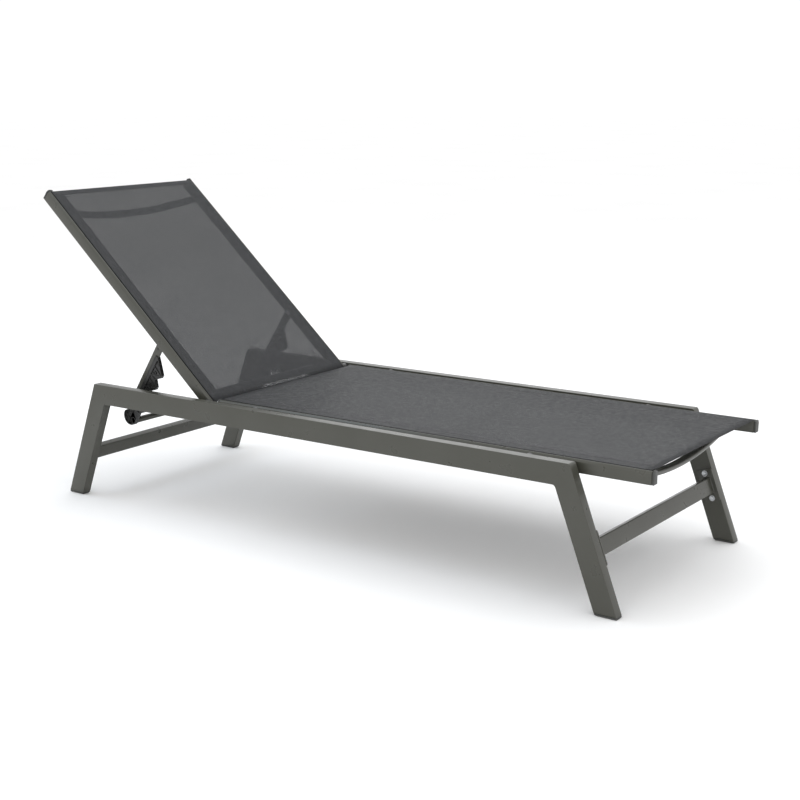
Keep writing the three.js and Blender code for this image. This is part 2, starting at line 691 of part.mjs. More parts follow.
// An L-shaped bracket: a plate on the side rail's inner face, and a ledge that the flat backrest
// lies on.
function catchBracket() {
  const outer = -FRAME_INNER + GAP;
  const inner = outer + BRACKET_THICKNESS;
  const ledgeTop = SEAT_RAIL_BOTTOM - GAP;
  const ledgeBottom = ledgeTop - BRACKET_THICKNESS;
  const outline = [
    [outer, BRACKET_BOTTOM], [inner, BRACKET_BOTTOM], [inner, ledgeBottom],
    [-LEDGE_INNER_EDGE, ledgeBottom], [-LEDGE_INNER_EDGE, ledgeTop], [outer, ledgeTop],
  ].map(([y, z]) => new THREE.Vector2(y, z));
  const bracket = prismAlongX(
    outline, catchPoint.x - BRACKET_HALF_LENGTH, catchPoint.x + BRACKET_HALF_LENGTH,
  );
  return bracket.subtract(pinAlongY(
    catchPoint.x, catchPoint.y, CATCH_PIN_RADIUS + GAP, -FRAME_INNER, -LEDGE_INNER_EDGE,
  ));
}

const catchPin = pinAlongY(
  catchPoint.x, catchPoint.y, CATCH_PIN_RADIUS, -FRAME_INNER + 2 * GAP, -CATCH_PIN_END,
);
addPair(frameGroup, 'catch_bracket', catchBracket(), 'paint');
addPair(frameGroup, 'catch_pin', catchPin, 'steel');

// ---------------------------------------------------------------- assembly

propGroup.position.set(-PROP_PIVOT_DISTANCE, 0, 0);
propGroup.rotation.y = PROP_LEAN - RECLINE;
backrestGroup.add(propGroup);
backrestGroup.position.set(HINGE_X, 0, HINGE_Z);
backrestGroup.rotation.y = RECLINE;

const lounger = new THREE.Group();
lounger.add(frameGroup, backrestGroup);
lounger.updateMatrixWorld(true);
const box = new THREE.Box3().setFromObject(lounger, true);
lounger.position.x = -(box.min.x + box.max.x) / 2;

export default lounger;
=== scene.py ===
# A reclining sun lounger: the visible surfaces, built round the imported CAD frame.
# Lengths are in metres. +X points to the foot end, +Y to the sitter's left and +Z up.

import json
import math

import bmesh
import bpy
from mathutils import Matrix, Vector


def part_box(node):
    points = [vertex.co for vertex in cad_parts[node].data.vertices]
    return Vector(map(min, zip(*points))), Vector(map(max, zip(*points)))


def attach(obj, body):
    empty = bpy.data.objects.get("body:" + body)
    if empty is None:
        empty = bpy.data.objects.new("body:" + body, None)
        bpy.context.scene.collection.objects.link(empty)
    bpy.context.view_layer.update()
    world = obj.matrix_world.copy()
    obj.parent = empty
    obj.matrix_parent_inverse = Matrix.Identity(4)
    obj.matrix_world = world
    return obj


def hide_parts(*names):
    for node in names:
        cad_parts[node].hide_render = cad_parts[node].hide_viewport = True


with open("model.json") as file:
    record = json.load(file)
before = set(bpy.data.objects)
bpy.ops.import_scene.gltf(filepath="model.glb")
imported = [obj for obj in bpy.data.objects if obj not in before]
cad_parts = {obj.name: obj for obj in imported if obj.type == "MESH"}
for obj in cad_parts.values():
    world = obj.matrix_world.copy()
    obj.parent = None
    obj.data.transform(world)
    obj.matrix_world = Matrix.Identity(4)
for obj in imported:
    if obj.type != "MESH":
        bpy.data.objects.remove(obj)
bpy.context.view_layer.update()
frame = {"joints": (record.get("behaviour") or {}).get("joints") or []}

# ---------------------------------------------------------------- sizes

MM = 0.001

JOINTS = {joint["name"]: joint for joint in frame["joints"]}
HINGE = Vector(JOINTS["back_recline"]["pos_m"])
PROP_PIVOT = Vector(JOINTS["prop_swing"]["pos_m"])
RECLINE = math.atan2(PROP_PIVOT.z - HINGE.z, HINGE.x - PROP_PIVOT.x)
PROP_LEAN = math.radians(34.1)

# The backrest is drawn lying flat with its hinge axis at the origin, and the prop hanging from
# its pivot at the origin. These matrices put them in place.
BACK_PLACE = Matrix.Translation(HINGE) @ Matrix.Rotation(RECLINE, 4, "Y")
PROP_PLACE = Matrix.Translation(PROP_PIVOT) @ Matrix.Rotation(PROP_LEAN, 4, "Y")
SEAT_PLACE = Matrix.Translation(Vector((0, 0, HINGE.z)))

# Side frames
RAIL_LOW, RAIL_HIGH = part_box("right_side_rail")
TUBE_HEIGHT = RAIL_HIGH.z - RAIL_LOW.z
TUBE_WIDTH = RAIL_HIGH.y - RAIL_LOW.y
FRAME_OUTER = -RAIL_LOW.y
FRAME_INNER = -RAIL_HIGH.y
HEAD_SPLAY = math.radians(21.5)
FOOT_SPLAY = math.radians(20.3)
LEG_CUT_Z = 5.3 * MM
CAP_HEIGHT = 5 * MM
CAP_CHAMFER = 2.2 * MM
TUBE_EDGE = 2.6 * MM
FOOT_OUTER_BEND = 6.5 * MM
FOOT_INNER_BEND = 9 * MM
HEAD_INNER_BEND = 1.5 * MM

# Sling rails
PROFILE_OUTER = 271.2 * MM
PROFILE_WIDTH = 18 * MM
PROFILE_DEPTH = 30 * MM
PROFILE_INNER = PROFILE_OUTER - PROFILE_WIDTH
PROFILE_CORNER = 1.5 * MM
SHOULDER = 5.4 * MM
SHOULDER_RADIUS = 3 * MM
LIP_RADIUS = 2.2 * MM
LIP_FLARE = 2 * MM
LAND_DROP = 1.6 * MM
GROOVE_START = 8.2 * MM
GROOVE_WIDTH = 2.6 * MM
CHANNEL_RADIUS = 3.7 * MM
CHANNEL_DEPTH = 7 * MM
CAP_LENGTH = 5 * MM
CAP_NECK = 1.6 * MM
CAP_JOINT = 1.8 * MM
CAP_RIM = 1.8 * MM
CAP_ROOT = 0.3 * MM
RAIL_END_EDGE = 0.4 * MM
JOINT_GAP = 0.3 * MM
GROOVE_Y = PROFILE_OUTER - GROOVE_START - GROOVE_WIDTH / 2

# Slings
CLOTH_TOP = PROFILE_DEPTH / 2 - 0.1 * MM
CLOTH_SKIN = 0.1 * MM
HEM_DROP = 0.8 * MM
CORNER_DROP = 1.25 * MM
SIDE_HEM = 33 * MM
END_HEM = 16 * MM
NARROW_HEM = 5 * MM
SAG = 3 * MM
# The share of the sag that is gained for each metre away from an end
SAG_GROWTH = 3.0
YARN_PITCH = 1.4 * MM
YARN_SHARE = 0.7
YARN_EDGE = 0.04
# Painted shade on the cloth beside each groove: the strip's width, and how far it darkens
PAINTED_SHADE_BAND = 6 * MM
PAINTED_SHADE_SHARE = 0.4
KEDER_RADIUS = 2.6 * MM
KEDER_WRAP = 2.9 * MM
KEDER_TURN = (80, -260)
STITCH_PITCH = 4.2 * MM
STITCH_LENGTH = 2.9 * MM
STITCH_RADIUS = 0.35 * MM
STITCH_INSET = 2.5 * MM

# Edges of bent and cut plates, and the shanks of all bolts
PLATE_EDGE = 0.5 * MM
SHANK_RADIUS = 4 * MM

# ---------------------------------------------------------------- shader helpers


class Graph:
    """A material's nodes, with the surface shader at hand. Patterns follow the piece's own axes."""

    def __init__(self, name, **settings):
        self.material = bpy.data.materials.new(name)
        self.material.use_nodes = True
        self.tree = self.material.node_tree
        self.shader = self.tree.nodes["Principled BSDF"]
        for socket, value in settings.items():
            self.shader.inputs[socket.replace("_", " ")].default_value = value
        self.place = self.node("ShaderNodeTexCoord").outputs["Object"]

    def node(self, kind, inputs=(), **properties):
        made = self.tree.nodes.new(kind)
        for key, value in properties.items():
            setattr(made, key, value)
        for key, value in dict(inputs).items():
            self.plug(value, made.inputs[key])
        return made

    def plug(self, value, socket):
        if isinstance(value, bpy.types.NodeSocket):
            self.tree.links.new(value, socket)
        else:
            socket.default_value = value

    def maths(self, operation, *values):
        made = self.node("ShaderNodeMath", operation=operation)
        for index, value in enumerate(values):
            self.plug(value, made.inputs[index])
        return made.outputs[0]

    def noise(self, scale, detail=3.0, roughness=0.5):
        made = self.node("ShaderNodeTexNoise", {
            "Vector": self.place, "Scale": scale, "Detail": detail, "Roughness": roughness,
        })
        return made.outputs["Fac"]

    def spread(self, value, low, high, new_low=0.0, new_high=1.0):
        made = self.node("ShaderNodeMapRange", {
            "Value": value, "From Min": low, "From Max": high, "To Min": new_low, "To Max": new_high,
        })
        return made.outputs["Result"]

    def blend(self, factor, first, second):
        made = self.node("ShaderNodeMix", data_type="RGBA")
        self.plug(factor, made.inputs[0])
        self.plug(first, made.inputs[6])
        self.plug(second, made.inputs[7])
        return made.outputs[2]

    def bump(self, height, distance, strength=1.0, normal=None):
        made = self.node("ShaderNodeBump", {"Height": height, "Distance": distance, "Strength": strength})
        if normal is not None:
            self.plug(normal, made.inputs["Normal"])
        return made.outputs["Normal"]

    def worn_edges(self, radius):
        """Rises from 0 on flat faces to 1 on sharp edges, outside and inside ones alike."""
        geometry = self.node("ShaderNodeNewGeometry")
        bevel = self.node("ShaderNodeBevel", {"Radius": radius}, samples=4)
        turned = self.node("ShaderNodeVectorMath", operation="DOT_PRODUCT")
        self.plug(geometry.outputs["Normal"], turned.inputs[0])
        self.plug(bevel.outputs["Normal"], turned.inputs[1])
        return self.spread(turned.outputs["Value"], 1.0, 0.86)

    def finish(self, colour=None, roughness=None, normal=None, alpha=None):
        for socket, value in (
            ("Base Color", colour), ("Roughness", roughness), ("Normal", normal), ("Alpha", alpha),
        ):
            if value is not None:
                self.plug(value, self.shader.inputs[socket])
        return self.material


def powder_coat():
    """Warm dark grey powder coat: fine orange peel, slight mottling, edges rubbed a little lighter."""
    g = Graph("powder_coat", Specular_IOR_Level=0.5)
    base = (0.046, 0.046, 0.036, 1)
    mottled = g.blend(g.spread(g.noise(9, 4), 0.35, 0.7), base, (0.051, 0.051, 0.041, 1))
    speckled = g.blend(g.spread(g.noise(1400, 1), 0.6, 0.75, 0, 0.2), mottled, (0.075, 0.075, 0.066, 1))
    rubbed = g.maths("MULTIPLY", g.worn_edges(0.0012), g.spread(g.noise(70, 4), 0.45, 0.75, 0, 0.25))
    colour = g.blend(rubbed, speckled, (0.13, 0.13, 0.12, 1))
    roughness = g.spread(g.noise(26, 4), 0.3, 0.7, 0.26, 0.36)
    peel = g.bump(g.noise(650, 2), 0.00006, 0.4)
    return g.finish(colour, roughness, g.bump(g.noise(2600, 1), 0.00002, 0.3, peel))


def moulded_plastic(name, dark, light, shine):
    """Injection-moulded plastic: fine spark-eroded grain and faint flow marks."""
    g = Graph(name)
    flow = g.noise(34, 5, 0.6)
    colour = g.blend(g.spread(flow, 0.35, 0.7), dark, light)
    roughness = g.spread(g.noise(120, 3), 0.3, 0.7, shine, shine + 0.14)
    grain = g.bump(g.noise(2200, 2), 0.00006, 0.7)
    return g.finish(colour, roughness, grain)


def zinc_steel():
    """Bright zinc plate with fine turning marks and dull patches."""
    g = Graph("zinc_steel", Metallic=1.0)
    dull = g.noise(420, 4, 0.6)
    colour = g.blend(g.spread(dull, 0.35, 0.7), (0.62, 0.64, 0.66, 1), (0.47, 0.48, 0.49, 1))
    roughness = g.spread(dull, 0.3, 0.7, 0.2, 0.42)
    return g.finish(colour, roughness, g.bump(g.noise(3000, 2), 0.00002, 0.5))


def yarn_waves(g):
    """Flat yarns in a two-over-two weave: the height of the yarn on top, and the best cover at a point."""
    split = g.node("ShaderNodeSeparateXYZ", {"Vector": g.place})

    def ridge(position):
        """A yarn's height across its pitch, from 0 midway between two yarns to 1 on its middle."""
        offset = g.maths("SUBTRACT", g.maths("MULTIPLY", g.maths("FRACT", position), 2.0), 1.0)
        return g.maths("SUBTRACT", 1.0, g.maths("MULTIPLY", offset, offset))

    along = g.maths("MULTIPLY", split.outputs["X"], 1 / YARN_PITCH)
    across = g.maths("MULTIPLY", split.outputs["Y"], 1 / YARN_PITCH)
    warp, weft = ridge(across), ridge(along)
    pair = g.maths("ADD", g.maths("FLOOR", g.maths("MULTIPLY", across, 0.5)),
                   g.maths("FLOOR", g.maths("MULTIPLY", along, 0.5)))
    warp_over = g.maths("MODULO", g.maths("ABSOLUTE", pair), 2.0)
    top = g.maths("ADD", g.maths("MULTIPLY", warp, warp_over),
                  g.maths("MULTIPLY", weft, g.maths("SUBTRACT", 1.0, warp_over)))
    return top, g.maths("MAXIMUM", warp, weft)


def sling_mesh(name, shade, open_weave):
    """Coated yarn mesh, with painted shade on a strip beside each groove, where it dips in. An open weave
    lets light through the square gaps between its yarns."""
    g = Graph(name, Sheen_Weight=0.02, Sheen_Roughness=0.5, Specular_IOR_Level=0.2)
    top, cover = yarn_waves(g)
    edge = 1.0 - YARN_SHARE ** 2

    def tone(share):
        return (*(value * share for value in shade), 1)

    # Painted shade in the weave: darker where a yarn falls away into the hollow beside its neighbour
    woven = g.blend(g.spread(top, edge, 1.0), tone(0.6), tone(1.16))
    mottled = g.blend(g.spread(g.noise(11, 4), 0.3, 0.7, 0.0, 0.25), woven, tone(1.3))
    from_middle = g.maths("ABSOLUTE", g.node("ShaderNodeSeparateXYZ", {"Vector": g.place}).outputs["Y"])
    # Painted shade: the cloth is darkened on a strip beside each groove, where it dips under the rail's
    # lip
    shade_band = (GROOVE_Y - PAINTED_SHADE_BAND, GROOVE_Y - PAINTED_SHADE_BAND / 2)
    groove_shade = g.spread(from_middle, *shade_band, 0.0, PAINTED_SHADE_SHARE)
    colour = g.blend(groove_shade, mottled, tone(0.1))
    roughness = g.spread(g.noise(90, 3), 0.3, 0.7, 0.46, 0.6)
    relief = g.bump(top, 0.0003, 0.7)
    if not open_weave:
        return g.finish(colour, roughness, relief)
    return g.finish(colour, roughness, relief, g.spread(cover, edge - YARN_EDGE, edge + YARN_EDGE))


POWDER = powder_coat()
BLACK = moulded_plastic("black_plastic", (0.012, 0.012, 0.012, 1), (0.022, 0.022, 0.021, 1), 0.24)
GREY = moulded_plastic("grey_plastic", (0.036, 0.037, 0.034, 1), (0.046, 0.047, 0.043, 1), 0.4)
ZINC = zinc_steel()
SLING = sling_mesh("sling_mesh", (0.027, 0.028, 0.0305), True)
SLING_HEM = sling_mesh("sling_hem", (0.015, 0.0155, 0.017), False)
THREAD = moulded_plastic("sewing_thread", (0.03, 0.03, 0.032, 1), (0.05, 0.05, 0.053, 1), 0.5)

# ---------------------------------------------------------------- mesh helpers

HEAD_RADIUS = 7.5 * MM
HEAD_HEIGHT = 5 * MM
HEAD_CHAMFER = 0.3 * MM
SOCKET_CORNER = 2.9 * MM
SOCKET_MOUTH = 1.2 * SOCKET_CORNER
# Heights in a bolt head, in fifths of its whole height
HEAD_STEPS = 5
RIM_RISE = 0.3
DOME_RISE = 5.4
SOCKET_DEPTH = 2.6
# Keeps sharp corners from moving too far when an outline is inset
SHARPEST = 0.35


def even(start, end, steps):
    return [start + (end - start) * i / steps for i in range(steps + 1)]


def arc(centre, radius, start, end, steps):
    """Points on an arc in the plane, from start to end in degrees."""
    angles = [math.radians(start + (end - start) * i / steps) for i in range(steps + 1)]
    return [(centre[0] + radius * math.cos(a), centre[1] + radius * math.sin(a)) for a in angles]


def circle(centre, radius, sides):
    """Points on a closed circle, each one once."""
    return arc(centre, radius, 0, 360 - 360 / sides, sides - 1)


def rounded_corner(before, corner, after, radius, steps):
    """The arc that rounds a corner between two straight edges."""
    corner, a, b = Vector(corner), Vector(before), Vector(after)
    to_a, to_b = (a - corner).normalized(), (b - corner).normalized()
    half = to_a.angle(to_b) / 2
    centre = corner + (to_a + to_b).normalized() * (radius / math.sin(half))
    start = corner + to_a * (radius / math.tan(half)) - centre
    end = corner + to_b * (radius / math.tan(half)) - centre
    turn = start.angle(end)
    points = []
    for i in range(steps + 1):
        share = i / steps
        mixed = (start * math.sin((1 - share) * turn) + end * math.sin(share * turn)) / math.sin(turn)
        points.append(tuple(centre + mixed))
    return points


def rounded_rectangle(width, height, radius, steps):
    x, y = width / 2 - radius, height / 2 - radius
    return [
        *arc((x, y), radius, 0, 90, steps), *arc((-x, y), radius, 90, 180, steps),
        *arc((-x, -y), radius, 180, 270, steps), *arc((x, -y), radius, 270, 360, steps),
    ]


def extrude(bm, outline, start, end, to_3d):
    """Extrudes an outline between two depths; to_3d(u, v, depth) gives a point. Returns the faces."""
    near = [bm.verts.new(to_3d(u, v, start)) for u, v in outline]
    far = [bm.verts.new(to_3d(u, v, end)) for u, v in outline]
    count = len(outline)
    faces = [bm.faces.new(near), bm.faces.new(list(reversed(far)))]
    for i in range(count):
        j = (i + 1) % count
        faces.append(bm.faces.new((near[j], near[i], far[i], far[j])))
    return faces


def along_y(u, v, depth):
    return Vector((u, depth, v))


def along_x(u, v, depth):
    return Vector((depth, u, v))


def soften(bm, faces, width, segments=2):
    """Rounds the rim of an extrusion, where its two end faces meet its sides."""
    edges = {edge for face in faces[:2] for edge in face.edges}
    bmesh.ops.bevel(bm, geom=list(edges), offset=width, segments=segments, affect="EDGES",
                    profile=0.5, clamp_overlap=True)


def cylinder(bm, centre, radius, start, end, sides=32, edge=0.0):
    """A pin along Y with an optional rounded rim."""
    faces = extrude(bm, circle(centre, radius, sides), start, end, along_y)
    if edge:
        soften(bm, faces, edge)


def hexagon_radius(corner, degrees):
    """The radius of a hexagon at an angle, from the radius of its corners."""
    return corner * math.cos(math.radians(30)) / math.cos(math.radians(degrees % 60 - 30))


def button_head(bm, centre, under, top):
    """A domed bolt head along Y, between the face under it and its top, with a hexagon socket."""
    rise = (top - under) / HEAD_STEPS

    def ring(radius, y, hexagonal=False):
        points = []
        for degrees in range(0, 360, 10):
            r = hexagon_radius(radius, degrees) if hexagonal else radius
            a = math.radians(degrees)
            points.append(Vector((centre[0] + r * math.cos(a), y, centre[1] + r * math.sin(a))))
        return points

    rings = [ring(HEAD_RADIUS - HEAD_CHAMFER, under), ring(HEAD_RADIUS, under + rise * RIM_RISE)]
    for degrees in even(10, 60, 6):
        bend = math.radians(degrees)
        height = under + rise * (RIM_RISE + DOME_RISE * math.sin(bend))
        rings.append(ring(HEAD_RADIUS * math.cos(bend), height))
    rings.append(ring(SOCKET_MOUTH, top))
    rings.append(ring(SOCKET_CORNER, top - rise * RIM_RISE, True))
    rings.append(ring(SOCKET_CORNER, top - rise * SOCKET_DEPTH, True))
    ring_sweep(bm, rings)


def inset(outline, distance):
    """The outline moved inwards by a distance, corner by corner. A sharp corner moves less."""
    count, moved = len(outline), []
    area = sum(outline[i - 1][0] * outline[i][1] - outline[i][0] * outline[i - 1][1] for i in range(count))
    turn = 1 if area > 0 else -1
    for i in range(count):
        here, before, after = (Vector(outline[k % count]) for k in (i, i - 1, i + 1))
        first, second = (here - before).normalized(), (after - here).normalized()
        normal = (Vector((-first.y, first.x)) + Vector((-second.y, second.x))) * turn
        scale = distance / max(SHARPEST, normal.length_squared / 2)
        moved.append(tuple(here + normal * scale))
    return moved


def ring_sweep(bm, rings, closed_ends=True):
    """Joins rings of equal length into a tube."""
    loops = [[bm.verts.new(point) for point in ring] for ring in rings]
    count = len(loops[0])
    for first, second in zip(loops, loops[1:]):
        for i in range(count):
            j = (i + 1) % count
            bm.faces.new((first[i], first[j], second[j], second[i]))
    if closed_ends:
        bm.faces.new(list(reversed(loops[0])))
        bm.faces.new(loops[-1])


def add(name, bm, material, body, nodes, place=None, smooth=35, extra=()):
    """Makes a piece from a bmesh, gives it its finish and lets it ride on its body."""
    bmesh.ops.remove_doubles(bm, verts=bm.verts, dist=1e-7)
    bmesh.ops.recalc_face_normals(bm, faces=bm.faces)
    mesh = bpy.data.meshes.new(name)
    bm.to_mesh(mesh)
    bm.free()
    mesh.shade_smooth()
    mesh.set_sharp_from_angle(angle=math.radians(smooth))
    for finish in (material, *extra):
        mesh.materials.append(finish)
    piece = bpy.data.objects.new(name, mesh)
    bpy.context.scene.collection.objects.link(piece)
    if place is not None:
        piece.matrix_world = place
    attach(piece, body)
    if nodes:
        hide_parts(*nodes)
    return piece


def mirrored(bm, side):
    """Shapes are drawn on the right-hand side, at negative Y. The left-hand one is its mirror image."""
    if side == "left":
        bmesh.ops.scale(bm, vec=(1, -1, 1), verts=bm.verts)
        bmesh.ops.reverse_faces(bm, faces=bm.faces)
    return bm


# ---------------------------------------------------------------- side frames


class LegEnd:
    """One end of a side frame: the tube's outer top corner and the direction of its leg."""

    def __init__(self, corner_x, splay, side):
        self.corner = Vector((corner_x, RAIL_HIGH.z))
        self.down = Vector((side * math.sin(splay), -math.cos(splay)))
        self.inward = Vector((-side * math.cos(splay), -math.sin(splay)))
        self.splay, self.side = splay, side

    def outer(self, z):
        return self.at(self.corner, z)

    def inner(self, z):
        return self.at(self.corner + self.inward * TUBE_HEIGHT, z)

    def at(self, start, z):
        return start + self.down * ((z - start.y) / self.down.y)

    def centre(self, z, outward=0.0):
        return self.at(self.corner + self.inward * (TUBE_HEIGHT / 2 - outward), z)


HEAD_END = LegEnd(RAIL_LOW.x, HEAD_SPLAY, -1)
FOOT_END = LegEnd(RAIL_HIGH.x, FOOT_SPLAY, 1)


def side_frame_outline():
    """The side view of a side frame: one rail and two splayed legs."""
    underside = RAIL_LOW.z
    head_foot = [HEAD_END.inner(LEG_CUT_Z), HEAD_END.outer(LEG_CUT_Z)]
    foot_foot = [FOOT_END.outer(LEG_CUT_Z), FOOT_END.inner(LEG_CUT_Z)]
    foot_corner = rounded_corner(HEAD_END.corner, FOOT_END.corner, foot_foot[0], FOOT_OUTER_BEND, 8)
    foot_inner = rounded_corner(
        foot_foot[1], FOOT_END.inner(underside), HEAD_END.inner(underside), FOOT_INNER_BEND, 8,
    )
    head_inner = rounded_corner(
        FOOT_END.inner(underside), HEAD_END.inner(underside), head_foot[0], HEAD_INNER_BEND, 3,
    )
    points = [*head_foot, HEAD_END.corner, *foot_corner, *foot_foot, *foot_inner, *head_inner]
    return [tuple(point) for point in points]


def side_frame(side):
    bm = bmesh.new()
    faces = extrude(bm, side_frame_outline(), -FRAME_OUTER, -FRAME_INNER, along_y)
    soften(bm, faces, TUBE_EDGE, 4)
    nodes = [f"{side}_{name}" for name in ("side_rail", "head_leg", "foot_leg")]
    add(f"{side}_side_frame", mirrored(bm, side), POWDER, "frame", nodes)


def leg_cap(side, name, end):
    """The cap in a leg's foot: its outline follows the slanted leg, with a chamfered sole."""
    def ring(z, chamfer):
        outer, inner = end.outer(z), end.inner(z)
        xs = sorted((outer.x, inner.x))
        width = xs[1] - xs[0] - 2 * chamfer
        middle = sum(xs) / 2
        section = rounded_rectangle(width, TUBE_WIDTH - 2 * chamfer, TUBE_EDGE, 4)
        return [Vector((middle + x, y - (FRAME_OUTER + FRAME_INNER) / 2, z)) for x, y in section]

    bm = bmesh.new()
    ring_sweep(bm, [ring(0, CAP_CHAMFER), ring(CAP_CHAMFER, 0), ring(CAP_HEIGHT, 0)])
    add(f"{side}_{name}_leg_foot", mirrored(bm, side), GREY, "frame", [f"{side}_{name}_leg_cap"])


for side in ("right", "left"):
    side_frame(side)
    leg_cap(side, "head", HEAD_END)
    leg_cap(side, "foot", FOOT_END)

# ---------------------------------------------------------------- crossbars

# A bar's width and height. A plate's width, height and thickness.
CROSSBAR = (19 * MM, 38 * MM)
HEAD_CROSSBAR_Z = 118 * MM
FOOT_CROSSBAR_Z = 134 * MM
FOOT_FORWARD = 6 * MM
PLATE = (39 * MM, 80 * MM, 3.5 * MM)
PLATE_CORNER = 6 * MM
PLATE_BOLTS = 62 * MM
WELD = 2.4 * MM
WELD_STEP = 0.9 * MM
WELD_RIPPLE = 0.13
WELD_RIPPLE_TURN = 1.9
# A weld's section, in weld sizes: outwards from the bar, and out from the plate
WELD_SECTION = ((-0.3, 0), (1, 0), (0.5, 0.5), (-0.1, 1))
# Radius, top above the plate, and edge
WASHER = (7.1 * MM, 1.1 * MM, 0.25 * MM)
HEX_HEAD = (5.8 * MM, 5.0 * MM, 0.6 * MM)
BOLT_TIP = (3.2 * MM, 5.3 * MM, 0.1 * MM)


def lean(points, end, centre):
    """Turns an outline with a leg and moves it to a point."""
    angle = end.side * end.splay
    c, s = math.cos(angle), math.sin(angle)
    return [(centre.x + x * c - y * s, centre.y + x * s + y * c) for x, y in points]


def weld_bead(bm, outline, y):
    """A rippled fillet round a bar along Y, where it meets a flat face."""
    middle = Vector((sum(p[0] for p in outline), sum(p[1] for p in outline))) / len(outline)
    previous, stations = Vector(outline[-1]), []
    for point in outline:
        point = Vector(point)
        pieces = max(1, round((point - previous).length / WELD_STEP))
        stations += [previous.lerp(point, i / pieces) for i in range(pieces)]
        previous = point
    rings = []
    for index, station in enumerate(stations):
        out = (station - middle).normalized()
        size = WELD * (1 + WELD_RIPPLE * math.sin(index * WELD_RIPPLE_TURN))
        rings.append([
            Vector((station.x + out.x * size * outward, y + size * rise,
                    station.y + out.y * size * outward))
            for outward, rise in WELD_SECTION
        ])
    ring_sweep(bm, [*rings, rings[0]], closed_ends=False)


def crossbar(name, end, z, forward, plate):
    """A bar between the two legs or the plates on them, with a weld round each end."""
    outline = lean(rounded_rectangle(*CROSSBAR, TUBE_EDGE, 5), end, end.centre(z, forward))
    reach = FRAME_INNER - plate - JOINT_GAP
    bm = bmesh.new()
    extrude(bm, outline, -reach, reach, along_y)
    add(name + "_tube", bm, POWDER, "frame", [name])
    for side in ("right", "left"):
        bm = bmesh.new()
        weld_bead(bm, outline, -reach - JOINT_GAP * 0.5)
        add(f"{side}_{name}_weld", mirrored(bm, side), POWDER, "frame", [], smooth=60)


def crossbar_plate(side):
    centre = FOOT_END.centre(FOOT_CROSSBAR_Z, FOOT_FORWARD)
    outline = lean(rounded_rectangle(PLATE[0], PLATE[1], PLATE_CORNER, 8), FOOT_END, centre)
    start = -FRAME_INNER + JOINT_GAP
    bm = bmesh.new()
    faces = extrude(bm, outline, start, start + PLATE[2], along_y)
    soften(bm, faces, PLATE_EDGE)
    add(f"{side}_foot_plate", mirrored(bm, side), POWDER, "frame", [f"{side}_crossbar_plate"])


def hex_bolt(side, name, point):
    """A washer, a hexagon head with its edges rounded, and the tip of the bolt."""
    seat = -FRAME_INNER + JOINT_GAP + PLATE[2]
    washer_radius, washer_top, washer_edge = WASHER
    corner, head_top, head_edge = HEX_HEAD
    tip_radius, tip_top, tip_edge = BOLT_TIP
    bm = bmesh.new()
    cylinder(bm, point, washer_radius, seat, seat + washer_top, 40, washer_edge)
    faces = extrude(bm, arc(point, corner, 10, 310, 5), seat + washer_top, seat + head_top, along_y)
    soften(bm, faces, head_edge)
    cylinder(bm, point, tip_radius, seat + head_top, seat + tip_top, 24, tip_edge)
    add(f"{side}_{name}_head", mirrored(bm, side), ZINC, "frame", [f"{side}_{name}"])


crossbar("head_crossbar", HEAD_END, HEAD_CROSSBAR_Z, 0, 0)
crossbar("foot_crossbar", FOOT_END, FOOT_CROSSBAR_Z, FOOT_FORWARD, PLATE[2])
for side in ("right", "left"):
    crossbar_plate(side)
    plate_centre = FOOT_END.centre(FOOT_CROSSBAR_Z, FOOT_FORWARD)
    for step, name in ((-1, "upper_plate_bolt"), (1, "lower_plate_bolt")):
        hex_bolt(side, name, plate_centre + FOOT_END.down * (step * PLATE_BOLTS / 2))

# ---------------------------------------------------------------- sling rails


def profile_outline(grooved=True):
    """The section of the right-hand rail, as (Y, Z) points: Z from its own axis, Y from the middle."""
    left, top, bottom = -PROFILE_OUTER, PROFILE_DEPTH / 2, -PROFILE_DEPTH / 2
    right = -PROFILE_INNER
    middle = -GROOVE_Y
    half_mouth = math.degrees(math.asin(GROOVE_WIDTH / 2 / CHANNEL_RADIUS))
    groove = [
        (middle + GROOVE_WIDTH / 2, top - LAND_DROP),
        *arc((middle, top - CHANNEL_DEPTH), CHANNEL_RADIUS, 90 - half_mouth, half_mouth - 270, 24),
        (middle - GROOVE_WIDTH / 2, top - LIP_FLARE),
    ]
    land = [*arc((right - MM, top - LAND_DROP - MM), MM, 0, 90, 4), *(groove if grooved else [])]
    lip, brow = (left + SHOULDER, top), (left, top - SHOULDER)
    return [
        *arc((left + PROFILE_CORNER, bottom + PROFILE_CORNER), PROFILE_CORNER, 180, 270, 4),
        *arc((right - PROFILE_CORNER, bottom + PROFILE_CORNER), PROFILE_CORNER, 270, 360, 4),
        *land,
        *rounded_corner(land[-1], lip, brow, LIP_RADIUS, 4),
        *rounded_corner(lip, brow, (left, bottom), SHOULDER_RADIUS, 4),
    ]


def sling_rail(side, name, start, end, place, body, node):
    """An extruded rail with a keder groove."""
    bm = bmesh.new()
    faces = extrude(bm, profile_outline(), start, end, along_x)
    soften(bm, faces, RAIL_END_EDGE)
    add(f"{side}_{name}", mirrored(bm, side), POWDER, body, [node], place)


def rail_cap(side, name, outer_x, inwards, place, body, nodes):
    """A cap with a domed rim on the end of a rail, and a narrower neck that leaves a joint line."""
    bm = bmesh.new()
    neck_x = outer_x + inwards * (CAP_LENGTH + JOINT_GAP * 0.5)
    inner_x = outer_x + inwards * (CAP_LENGTH - CAP_NECK)
    neck = inset(profile_outline(False), CAP_JOINT)
    extrude(bm, neck, *sorted((neck_x, outer_x + inwards * MM)), along_x)
    faces = extrude(bm, profile_outline(False), *sorted((inner_x, outer_x)), along_x)
    rim, root = faces[:2] if outer_x < inner_x else (faces[1], faces[0])
    for face, width, segments in ((rim, CAP_RIM, 4), (root, CAP_ROOT, 1)):
        bmesh.ops.bevel(bm, geom=list(face.edges), offset=width, segments=segments, affect="EDGES",
                        profile=0.5)
    add(f"{side}_{name}", mirrored(bm, side), GREY, body, nodes, place)


